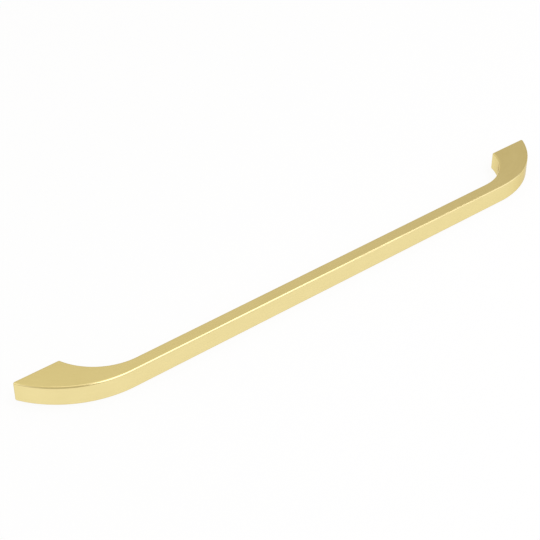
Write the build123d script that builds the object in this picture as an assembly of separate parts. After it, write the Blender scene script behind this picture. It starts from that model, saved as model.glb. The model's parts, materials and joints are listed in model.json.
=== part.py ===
"""A long cabinet pull: a slim flat bar that sweeps back at both ends into broad feet.

The whole handle is one casting of constant width. Its plan is drawn once and extruded, every edge is
rounded, and each foot has a tapped blind hole for the screw that comes through the drawer front.

Frame, in millimetres: X runs along the bar, +Y points into the drawer front and +Z is up. The feet stand
on the plane Y = 0, the bar lies in front of it at negative Y, and the origin is midway between the holes.
"""

import os
from math import acos, degrees, radians, sin, tan

from build123d import *

# Driving dimensions of the bow
hole_spacing = 320.0  # between the two screw holes, a multiple of the 32 mm cabinet grid
foot_length = 25.7  # along the drawer front, with the screw hole at its middle
projection = 28.5  # from the drawer front to the front of the bar
bar_thickness = 7.5  # front to back
bar_width = 10.5  # top to bottom, the same all along
outer_radius = 55.0  # sweep of the front face round to the foot's tip
inner_radius = 30.5  # sweep of the back of the bar into the foot
edge_radius = 1.0  # rounding of every outside edge

# Driving dimensions of the M4 screw holes
tap_drill_diameter = 3.3
thread_diameter = 4.0
mouth_clearance = 0.4  # the countersunk mouth is this much wider than the thread
mouth_angle = 90.0
hole_depth = 10.0  # full-diameter depth, to the shoulder of the drill point
drill_point_angle = 118.0

# Places worked out from them
half_length = (hole_spacing + foot_length) / 2
finger_gap = projection - bar_thickness
mouth_radius = (thread_diameter + mouth_clearance) / 2
tap_radius = tap_drill_diameter / 2


def sweep_of(radius, rise):
    """Degrees that an arc of this radius turns while it climbs by rise from a level start."""
    return degrees(acos((radius - rise) / radius))


def run_of(radius, rise):
    """Distance that the same arc covers along the bar."""
    return radius * sin(radians(sweep_of(radius, rise)))


def half_plan():
    """Right half of the plan, from the middle of the bar to the foot."""
    outer_start = half_length - run_of(outer_radius, projection)
    inner_start = half_length - foot_length - run_of(inner_radius, finger_gap)
    with BuildSketch() as plan:
        with BuildLine():
            front = Line((0, -projection), (outer_start, -projection))
            outer = JernArc(front @ 1, (1, 0), outer_radius, sweep_of(outer_radius, projection))
            back = Line((0, -finger_gap), (inner_start, -finger_gap))
            inner = JernArc(back @ 1, (1, 0), inner_radius, sweep_of(inner_radius, finger_gap))
            Line(outer @ 1, inner @ 1)
            Line(front @ 0, back @ 0)
        make_face()
    return plan.sketch


def bow():
    """The solid handle with all its edges rounded, before the holes are made."""
    with BuildPart() as body:
        with BuildSketch():
            add(half_plan())
            mirror(about=Plane.YZ)
        extrude(amount=bar_width / 2, both=True)
        fillet(body.edges(), radius=edge_radius)
    return body.part


def screw_hole():
    """Space of one tapped hole: its countersunk mouth at the origin, its drill point along +Z."""
    mouth_depth = (mouth_radius - tap_radius) / tan(radians(mouth_angle / 2))
    point_depth = tap_radius / tan(radians(drill_point_angle / 2))
    with BuildPart() as hole:
        with BuildSketch(Plane.XZ):
            with BuildLine():
                Polyline(
                    (0, 0),
                    (mouth_radius, 0),
                    (tap_radius, mouth_depth),
                    (tap_radius, hole_depth),
                    (0, hole_depth + point_depth),
                    close=True,
                )
            make_face()
        revolve(axis=Axis.Z)
    return hole.part


def handle():
    """The finished casting."""
    into_foot = Plane(origin=(0, 0, 0), x_dir=(1, 0, 0), z_dir=(0, -1, 0))
    with BuildPart() as casting:
        add(bow())
        with Locations(into_foot):
            with Locations((-hole_spacing / 2, 0), (hole_spacing / 2, 0)):
                add(screw_hole(), mode=Mode.SUBTRACT)
    return casting.part


os.makedirs("parts", exist_ok=True)
export_step(handle(), "parts/handle.step")
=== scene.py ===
"""Looks of a cabinet pull: a satin brass bow handle that lies on a white studio floor.

Everything is in metres, in the handle's own frame: X along the bar, +Y into the drawer front, +Z up.
"""

import json
import math

import bmesh
import bpy
from mathutils import Matrix, Quaternion, Vector


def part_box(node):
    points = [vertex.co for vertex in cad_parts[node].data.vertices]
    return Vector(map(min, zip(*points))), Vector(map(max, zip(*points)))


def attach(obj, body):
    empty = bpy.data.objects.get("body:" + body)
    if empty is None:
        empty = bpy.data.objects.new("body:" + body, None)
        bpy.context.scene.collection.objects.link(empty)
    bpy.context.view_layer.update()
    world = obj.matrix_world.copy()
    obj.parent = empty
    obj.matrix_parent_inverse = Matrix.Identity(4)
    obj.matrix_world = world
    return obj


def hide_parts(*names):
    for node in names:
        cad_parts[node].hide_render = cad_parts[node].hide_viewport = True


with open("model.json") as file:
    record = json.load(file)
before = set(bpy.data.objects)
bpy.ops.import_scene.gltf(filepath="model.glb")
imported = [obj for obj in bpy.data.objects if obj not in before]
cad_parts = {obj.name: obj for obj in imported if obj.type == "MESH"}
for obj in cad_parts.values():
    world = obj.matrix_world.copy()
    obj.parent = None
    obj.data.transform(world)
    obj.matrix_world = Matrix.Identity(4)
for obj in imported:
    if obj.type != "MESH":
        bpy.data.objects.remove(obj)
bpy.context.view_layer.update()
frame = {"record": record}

# Sizes read from the frame
mm_per_metre = 1000
low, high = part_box("handle")
mounts = {mount["name"]: mount for mount in frame["record"]["mounts"]}
hole_spacing = mounts["screw_holes"]["dims"]["spacing_x_mm"] / mm_per_metre
tap_radius = mounts["screw_holes"]["dims"]["hole_r_mm"] / mm_per_metre
projection = -low.y
half_width = high.z

# Sizes of the bow that the frame doesn't state
foot_length = 0.0257
bar_thickness = 0.0075
outer_radius = 0.055
inner_radius = 0.0305
edge_radius = 0.001

# Sizes of the M4 screw holes
thread_radius = 0.002
thread_pitch = 0.0007
thread_root = thread_pitch / 8
flank_angle = math.radians(30)
mouth_radius = 0.0022
hole_depth = 0.010
drill_half_angle = math.radians(59)
drill_tip = hole_depth + tap_radius / math.tan(drill_half_angle)
thread_end = hole_depth - thread_pitch
thread_run_out = 2 * thread_pitch

# Steps of the round stretches
sweep_steps = 28
corner_steps = 8
edge_steps = 8
hole_steps = 40
floor_steps = 96

# Limits for sharp edges and for points that are welded
sharp_angle = math.radians(30)
bow_weld = 0.00003
sliver_length = bow_weld / 10
hole_weld = 0.000001

# Places worked out from the sizes
half_length = (hole_spacing + foot_length) / 2
finger_gap = projection - bar_thickness
outer_centre_y = outer_radius - projection
outer_centre_x = half_length - math.sqrt(outer_radius**2 - outer_centre_y**2)
inner_centre_y = inner_radius - finger_gap
inner_centre_x = half_length - foot_length - math.sqrt(inner_radius**2 - inner_centre_y**2)
z_axis = (0, 0, 1)

# Camera at the photograph's angle
camera_place = Vector((-0.38062, -0.43318, 0.39583))
camera_aim = Vector((-0.021615, -0.001843, 0))
camera_roll = -0.0026
lens_mm = 89.28
sensor_mm = 36
near_clip = 0.01

# Satin brass finish
deep_brass = (0.76, 0.63, 0.28)
light_brass = (0.96, 0.83, 0.43)
grazing_tint = (0.79, 0.72, 0.54)
smooth_satin = 0.13
rough_satin = 0.31
edge_buffing = 0.05

# Marks in the finish: the size of their cells, their detail and share, and how deep the hairlines are
hairline_cell = (0.012, 0.00012, 0.00012)
hairline_detail = 2
hairline_share = 0.6
hairline_depth = 0.000008
stroke_cell = (0.05, 0.0007, 0.0007)
stroke_detail = 3
stroke_share = 0.15
cloud_cell = (0.014, 0.014, 0.014)
cloud_detail = 3
cloud_share = 0.25

# Studio floor, where a ray's glossy depth is 1 in a first reflection and 2 in a second
floor_radius = 4
floor_clearance = 0.00005
floor_paint = (0.95, 0.95, 0.95)
floor_glow = 0.9
second_reflection = 1.5

# Studio walls
dim_wall = (0.618, 0.579, 0.518)
pale_wall = (0.88, 0.85, 0.705)
pale_side = Vector((-0.3, 0.35, 0.89))
pale_reach = (0.3, 0.95)
camera_wall = (0.62, 0.58, 0.51)
camera_side = Vector((-0.42, -0.38, 0.82))
camera_reach = (0.75, 0.88)

# Softboxes
lamp_white = (0.95, 1, 1.25)
key_place = Vector((0.27, -0.4, 1))
key_size = (1.2, 0.45)
key_radiance = 1.9
front_place = Vector((0.2, -0.95, 0.6))
front_size = (1, 0.9)
front_radiance = 0.5
left_place = Vector((-1, 0.12, 0.7))
left_size = (0.7, 0.7)
left_radiance = 0.4
right_place = Vector((0.85, -0.6, 0.46))
right_size = (0.8, 0.65)
right_radiance = 0.7
overhead_place = Vector((0.25, 0.35, 1.2))
overhead_size = (0.6, 0.45)
overhead_radiance = 0.6


def chain(bm, start, straight_to, arcs):
    """A line of edges from one vertex: a straight run, then arcs of (centre, angle, steps)."""
    before = set(bm.edges)
    tail = bm.verts.new(start)
    run = bmesh.ops.extrude_vert_indiv(bm, verts=[tail])["verts"]
    bmesh.ops.translate(bm, verts=run, vec=Vector(straight_to) - Vector(start))
    tail = run[0]
    for centre, angle, steps in arcs:
        turn = bmesh.ops.spin(bm, geom=[tail], cent=centre, axis=z_axis, angle=angle, steps=steps)
        tail = turn["geom_last"][0]
    return [edge for edge in bm.edges if edge not in before]


def foot_corner(centre_x, centre_y, reach):
    """Centre of the rounding of a foot's edge, at this reach from the centre of the sweep next to it."""
    y = -edge_radius
    return Vector((centre_x + math.sqrt(reach**2 - (y - centre_y) ** 2), y, 0))


def plan_strip(bm):
    """The handle's plan as a strip of quads between its front line and its back line."""
    outer_centre = Vector((outer_centre_x, outer_centre_y, 0))
    inner_centre = Vector((inner_centre_x, inner_centre_y, 0))
    tip = foot_corner(outer_centre_x, outer_centre_y, outer_radius - edge_radius)
    crook = foot_corner(inner_centre_x, inner_centre_y, inner_radius + edge_radius)
    outer_sweep = math.atan2(tip.x - outer_centre.x, outer_centre.y - tip.y)
    inner_sweep = math.atan2(crook.x - inner_centre.x, inner_centre.y - crook.y)
    front = chain(
        bm,
        (0, -projection, 0),
        (outer_centre_x, -projection, 0),
        [(outer_centre, outer_sweep, sweep_steps), (tip, math.pi - outer_sweep, corner_steps)],
    )
    back = chain(
        bm,
        (0, -finger_gap, 0),
        (inner_centre_x, -finger_gap, 0),
        [(inner_centre, inner_sweep, sweep_steps), (crook, -inner_sweep, corner_steps)],
    )
    bmesh.ops.bridge_loops(bm, edges=front + back)
    bmesh.ops.mirror(bm, geom=bm.verts[:] + bm.edges[:] + bm.faces[:], axis="X", merge_dist=bow_weld)


def cast_bow(bm):
    """The plan raised to the bar's width, with every edge rounded."""
    plan_strip(bm)
    raised = bmesh.ops.extrude_face_region(bm, geom=bm.faces[:])["geom"]
    upper = [item for item in raised if isinstance(item, bmesh.types.BMVert)]
    bmesh.ops.translate(bm, verts=bm.verts[:], vec=(0, 0, -half_width))
    bmesh.ops.translate(bm, verts=upper, vec=(0, 0, 2 * half_width))
    bmesh.ops.recalc_face_normals(bm, faces=bm.faces[:])
    rims = [edge for edge in bm.edges if edge.calc_face_angle(0) > sharp_angle]
    bmesh.ops.bevel(
        bm,
        geom=rims,
        offset=edge_radius,
        offset_type="OFFSET",
        affect="EDGES",
        segments=edge_steps,
        profile=0.5,
        material=-1,
        clamp_overlap=False,
        loop_slide=False,
    )
    bmesh.ops.remove_doubles(bm, verts=bm.verts[:], dist=bow_weld)
    bmesh.ops.dissolve_degenerate(bm, edges=bm.edges[:], dist=sliver_length)


def hole_wall(depth, cut):
    """Radius and depth of a screw hole's wall at this depth, where a full thread has the radius cut."""
    engaged = min(max((thread_end - depth) / thread_run_out, 0), 1)
    threaded = tap_radius + (cut - tap_radius) * engaged
    # The mouth is countersunk at 45 degrees
    mouth = mouth_radius - max(depth, 0)
    point = max(drill_tip - depth, 0) * math.tan(drill_half_angle)
    return min(max(threaded, mouth), point), min(max(depth, 0), drill_tip)


def thread_profile(bm, centre):
    """One side of the thread as a line of edges along the hole, from above its mouth to below its tip."""
    flank = (thread_radius - tap_radius) * math.tan(flank_angle)
    crest = thread_pitch - thread_root - 2 * flank
    turns = math.ceil((hole_depth + 2 * tap_radius) / thread_pitch)
    corners = []
    for turn in range(turns):
        start = (turn - 1) * thread_pitch
        corners.append((start, tap_radius))
        corners.append((start + crest, tap_radius))
        corners.append((start + crest + flank, thread_radius))
        corners.append((start + crest + flank + thread_root, thread_radius))
    line = [bm.verts.new(centre + Vector((radius, -depth, 0))) for depth, radius in corners]
    return line + [bm.edges.new(pair) for pair in zip(line, line[1:])]


def tap_hole(bm, centre):
    """Opens one mounting face and joins a tapped blind hole to it."""
    into_foot = Vector((0, -1, 0))
    before = set(bm.verts)
    bmesh.ops.spin(
        bm,
        geom=thread_profile(bm, centre),
        cent=centre,
        axis=into_foot,
        dvec=into_foot * thread_pitch / hole_steps,
        angle=math.tau,
        steps=hole_steps,
    )
    wall = [vert for vert in bm.verts if vert not in before]
    for vert in wall:
        outward = vert.co - centre
        depth = outward.dot(into_foot)
        outward -= depth * into_foot
        radius, depth = hole_wall(depth, outward.length)
        vert.co = centre + outward.normalized() * radius + depth * into_foot
    bmesh.ops.remove_doubles(bm, verts=wall, dist=hole_weld)
    mouth = [edge for edge in bm.edges if edge.is_boundary and edge.verts[0] not in before]
    faces = [face for face in bm.faces if (face.calc_center_median() - centre).length < foot_length / 2]
    plate = max(faces, key=lambda face: face.normal.y * face.calc_area())
    rim = plate.edges[:]
    bmesh.ops.delete(bm, geom=[plate], context="FACES_ONLY")
    bmesh.ops.triangle_fill(bm, edges=rim + mouth, use_beauty=True, normal=(0, 1, 0))


def along_the_bow(place):
    """Distance along the front face, depth behind it and height: the directions that the finish follows."""
    beyond = abs(place.x) - outer_centre_x
    if beyond <= 0:
        return place.x, place.y + projection, place.z
    turn = math.atan2(beyond, outer_centre_y - place.y)
    length = outer_centre_x + outer_radius * turn
    depth = outer_radius - math.hypot(beyond, outer_centre_y - place.y)
    return math.copysign(length, place.x), depth, place.z


def edge_rounding(normal):
    """How far a point lies up a rounded edge: 0 on the flat faces and the walls, 1 midway between them."""
    return 2 * abs(normal.z) * math.sqrt(max(1 - normal.z**2, 0))


def make_handle():
    """The handle as one casting, with its tapped holes."""
    bm = bmesh.new()
    cast_bow(bm)
    for side in (-1, 1):
        tap_hole(bm, Vector((side * hole_spacing / 2, 0, 0)))
    bmesh.ops.recalc_face_normals(bm, faces=bm.faces[:])
    for face in bm.faces:
        face.smooth = True
    for edge in bm.edges:
        edge.smooth = edge.calc_face_angle(0) < sharp_angle
    mesh = bpy.data.meshes.new("handle_bow")
    bm.to_mesh(mesh)
    bm.free()
    places = mesh.attributes.new("along_the_bow", "FLOAT_VECTOR", "POINT")
    for vert in mesh.vertices:
        places.data[vert.index].vector = along_the_bow(vert.co)
    rounding = mesh.attributes.new("edge_rounding", "FLOAT", "POINT")
    for vert in mesh.vertices:
        rounding.data[vert.index].value = edge_rounding(vert.normal)
    bow = bpy.data.objects.new("handle_bow", mesh)
    bpy.context.scene.collection.objects.link(bow)
    flats = bow.modifiers.new("flat_faces", "WEIGHTED_NORMAL")
    flats.keep_sharp = True
    return bow


def feed(links, socket, value):
    """Gives a socket its value: a link from another socket, or a plain number or colour."""
    if isinstance(value, bpy.types.NodeSocket):
        links.new(value, socket)
    else:
        socket.default_value = value


def add_math(nodes, links, operation, first, second):
    """A Math node of two values, either of which may be a socket or a number."""
    node = nodes.new("ShaderNodeMath")
    node.operation = operation
    feed(links, node.inputs[0], first)
    feed(links, node.inputs[1], second)
    return node.outputs[0]


def add_noise(nodes, links, places, cell, detail):
    """Noise from 0 to 1 with cells of this size along the three directions of places."""
    stretch = nodes.new("ShaderNodeMapping")
    stretch.inputs["Scale"].default_value = [1 / side for side in cell]
    noise = nodes.new("ShaderNodeTexNoise")
    noise.inputs["Scale"].default_value = 1
    noise.inputs["Detail"].default_value = detail
    links.new(places, stretch.inputs["Vector"])
    links.new(stretch.outputs["Vector"], noise.inputs["Vector"])
    return noise.outputs["Fac"]


def satin_brass():
    """Brass plating, brushed to a fine satin along the bow and smoother on the rounded edges."""
    material = bpy.data.materials.new("satin_brass")
    material.use_nodes = True
    nodes = material.node_tree.nodes
    links = material.node_tree.links
    along = nodes.new("ShaderNodeAttribute")
    along.attribute_name = "along_the_bow"
    rounding = nodes.new("ShaderNodeAttribute")
    rounding.attribute_name = "edge_rounding"
    place = nodes.new("ShaderNodeTexCoord")

    hairlines = add_noise(nodes, links, along.outputs["Vector"], hairline_cell, hairline_detail)
    strokes = add_noise(nodes, links, along.outputs["Vector"], stroke_cell, stroke_detail)
    clouds = add_noise(nodes, links, place.outputs["Object"], cloud_cell, cloud_detail)
    marks = add_math(nodes, links, "MULTIPLY", hairlines, hairline_share)
    for layer, share in ((strokes, stroke_share), (clouds, cloud_share)):
        faint = add_math(nodes, links, "MULTIPLY", layer, share)
        marks = add_math(nodes, links, "ADD", marks, faint)

    tone = nodes.new("ShaderNodeMix")
    tone.data_type = "RGBA"
    tone.inputs["A"].default_value = (*deep_brass, 1)
    tone.inputs["B"].default_value = (*light_brass, 1)
    links.new(marks, tone.inputs["Factor"])

    satin = nodes.new("ShaderNodeMapRange")
    satin.inputs["To Min"].default_value = smooth_satin
    satin.inputs["To Max"].default_value = rough_satin
    links.new(marks, satin.inputs["Value"])
    buffed = add_math(nodes, links, "MULTIPLY", rounding.outputs["Fac"], edge_buffing)
    roughness = add_math(nodes, links, "SUBTRACT", satin.outputs[0], buffed)

    relief = nodes.new("ShaderNodeBump")
    relief.inputs["Strength"].default_value = 1
    relief.inputs["Distance"].default_value = hairline_depth
    links.new(hairlines, relief.inputs["Height"])

    shader = nodes["Principled BSDF"]
    shader.inputs["Metallic"].default_value = 1
    shader.inputs["Specular Tint"].default_value = (*grazing_tint, 1)
    links.new(tone.outputs["Result"], shader.inputs["Base Color"])
    links.new(roughness, shader.inputs["Roughness"])
    links.new(relief.outputs["Normal"], shader.inputs["Normal"])
    return material


def floor_white():
    """White studio floor that glows for the camera and in a first reflection, and keeps a soft shadow."""
    material = bpy.data.materials.new("floor_white")
    material.use_nodes = True
    nodes = material.node_tree.nodes
    links = material.node_tree.links
    paint = nodes["Principled BSDF"]
    paint.inputs["Base Color"].default_value = (*floor_paint, 1)
    paint.inputs["Roughness"].default_value = 1
    paint.inputs["Specular IOR Level"].default_value = 0
    glow = nodes.new("ShaderNodeEmission")
    path = nodes.new("ShaderNodeLightPath").outputs
    mirrored = add_math(nodes, links, "MAXIMUM", path["Is Glossy Ray"], path["Is Transmission Ray"])
    first = add_math(nodes, links, "LESS_THAN", path["Glossy Depth"], second_reflection)
    mirrored = add_math(nodes, links, "MULTIPLY", mirrored, first)
    seen = add_math(nodes, links, "MAXIMUM", path["Is Camera Ray"], mirrored)
    blend = nodes.new("ShaderNodeMixShader")
    links.new(add_math(nodes, links, "MULTIPLY", seen, floor_glow), blend.inputs["Fac"])
    links.new(paint.outputs[0], blend.inputs[1])
    links.new(glow.outputs[0], blend.inputs[2])
    links.new(blend.outputs[0], nodes["Material Output"].inputs["Surface"])
    return material


def make_floor():
    """A wide round floor just under the handle."""
    bm = bmesh.new()
    place = Matrix.Translation((0, 0, low.z - floor_clearance))
    bmesh.ops.create_circle(bm, cap_ends=True, segments=floor_steps, radius=floor_radius, matrix=place)
    mesh = bpy.data.meshes.new("floor")
    bm.to_mesh(mesh)
    bm.free()
    mesh.materials.append(floor_white())
    floor = bpy.data.objects.new("floor", mesh)
    bpy.context.scene.collection.objects.link(floor)


def turn_walls(nodes, links, direction, walls, side, reach, tone):
    """Studio walls that turn to this tone where a direction points to one side, over a range of reach."""
    pointing = nodes.new("ShaderNodeVectorMath")
    pointing.operation = "DOT_PRODUCT"
    pointing.inputs[1].default_value = side.normalized()
    links.new(direction, pointing.inputs[0])
    share = nodes.new("ShaderNodeMapRange")
    share.interpolation_type = "SMOOTHSTEP"
    share.inputs["From Min"].default_value = reach[0]
    share.inputs["From Max"].default_value = reach[1]
    links.new(pointing.outputs["Value"], share.inputs["Value"])
    turned = nodes.new("ShaderNodeMix")
    turned.data_type = "RGBA"
    feed(links, turned.inputs["A"], walls)
    turned.inputs["B"].default_value = (*tone, 1)
    links.new(share.outputs[0], turned.inputs["Factor"])
    return turned.outputs["Result"]


def make_surround():
    """Studio walls that are dim low down and around the camera, and pale towards the upper back."""
    world = bpy.data.worlds.new("studio")
    bpy.context.scene.world = world
    world.use_nodes = True
    nodes = world.node_tree.nodes
    links = world.node_tree.links
    direction = nodes.new("ShaderNodeTexCoord").outputs["Generated"]
    walls = turn_walls(nodes, links, direction, (*dim_wall, 1), pale_side, pale_reach, pale_wall)
    walls = turn_walls(nodes, links, direction, walls, camera_side, camera_reach, camera_wall)
    links.new(walls, nodes["Background"].inputs["Color"])


def add_softbox(name, place, size, radiance):
    """A rectangular lamp that faces the handle and adds this much light in a mirror."""
    lamp = bpy.data.lights.new(name, "AREA")
    lamp.shape = "RECTANGLE"
    lamp.color = lamp_white
    lamp.size, lamp.size_y = size
    lamp.energy = radiance * math.pi * lamp.size * lamp.size_y
    holder = bpy.data.objects.new(name, lamp)
    holder.location = place
    holder.rotation_mode = "QUATERNION"
    holder.rotation_quaternion = (-place).to_track_quat("-Z", "Y")
    holder.visible_camera = False
    bpy.context.scene.collection.objects.link(holder)


def make_camera():
    """Camera at the photograph's angle."""
    lens = bpy.data.cameras.new("camera")
    lens.lens = lens_mm
    lens.sensor_width = sensor_mm
    lens.clip_start = near_clip
    camera = bpy.data.objects.new("camera", lens)
    camera.location = camera_place
    camera.rotation_mode = "QUATERNION"
    aim = (camera_aim - camera_place).to_track_quat("-Z", "Y")
    camera.rotation_quaternion = aim @ Quaternion(z_axis, camera_roll)
    bpy.context.scene.collection.objects.link(camera)
    bpy.context.scene.camera = camera


handle_bow = make_handle()
handle_bow.data.materials.append(satin_brass())
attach(handle_bow, "root")
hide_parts("handle")

make_floor()
make_surround()
add_softbox("key_softbox", key_place, key_size, key_radiance)
add_softbox("front_softbox", front_place, front_size, front_radiance)
add_softbox("left_softbox", left_place, left_size, left_radiance)
add_softbox("right_softbox", right_place, right_size, right_radiance)
add_softbox("overhead_softbox", overhead_place, overhead_size, overhead_radiance)
make_camera()
bpy.context.scene.view_settings.view_transform = "Standard"
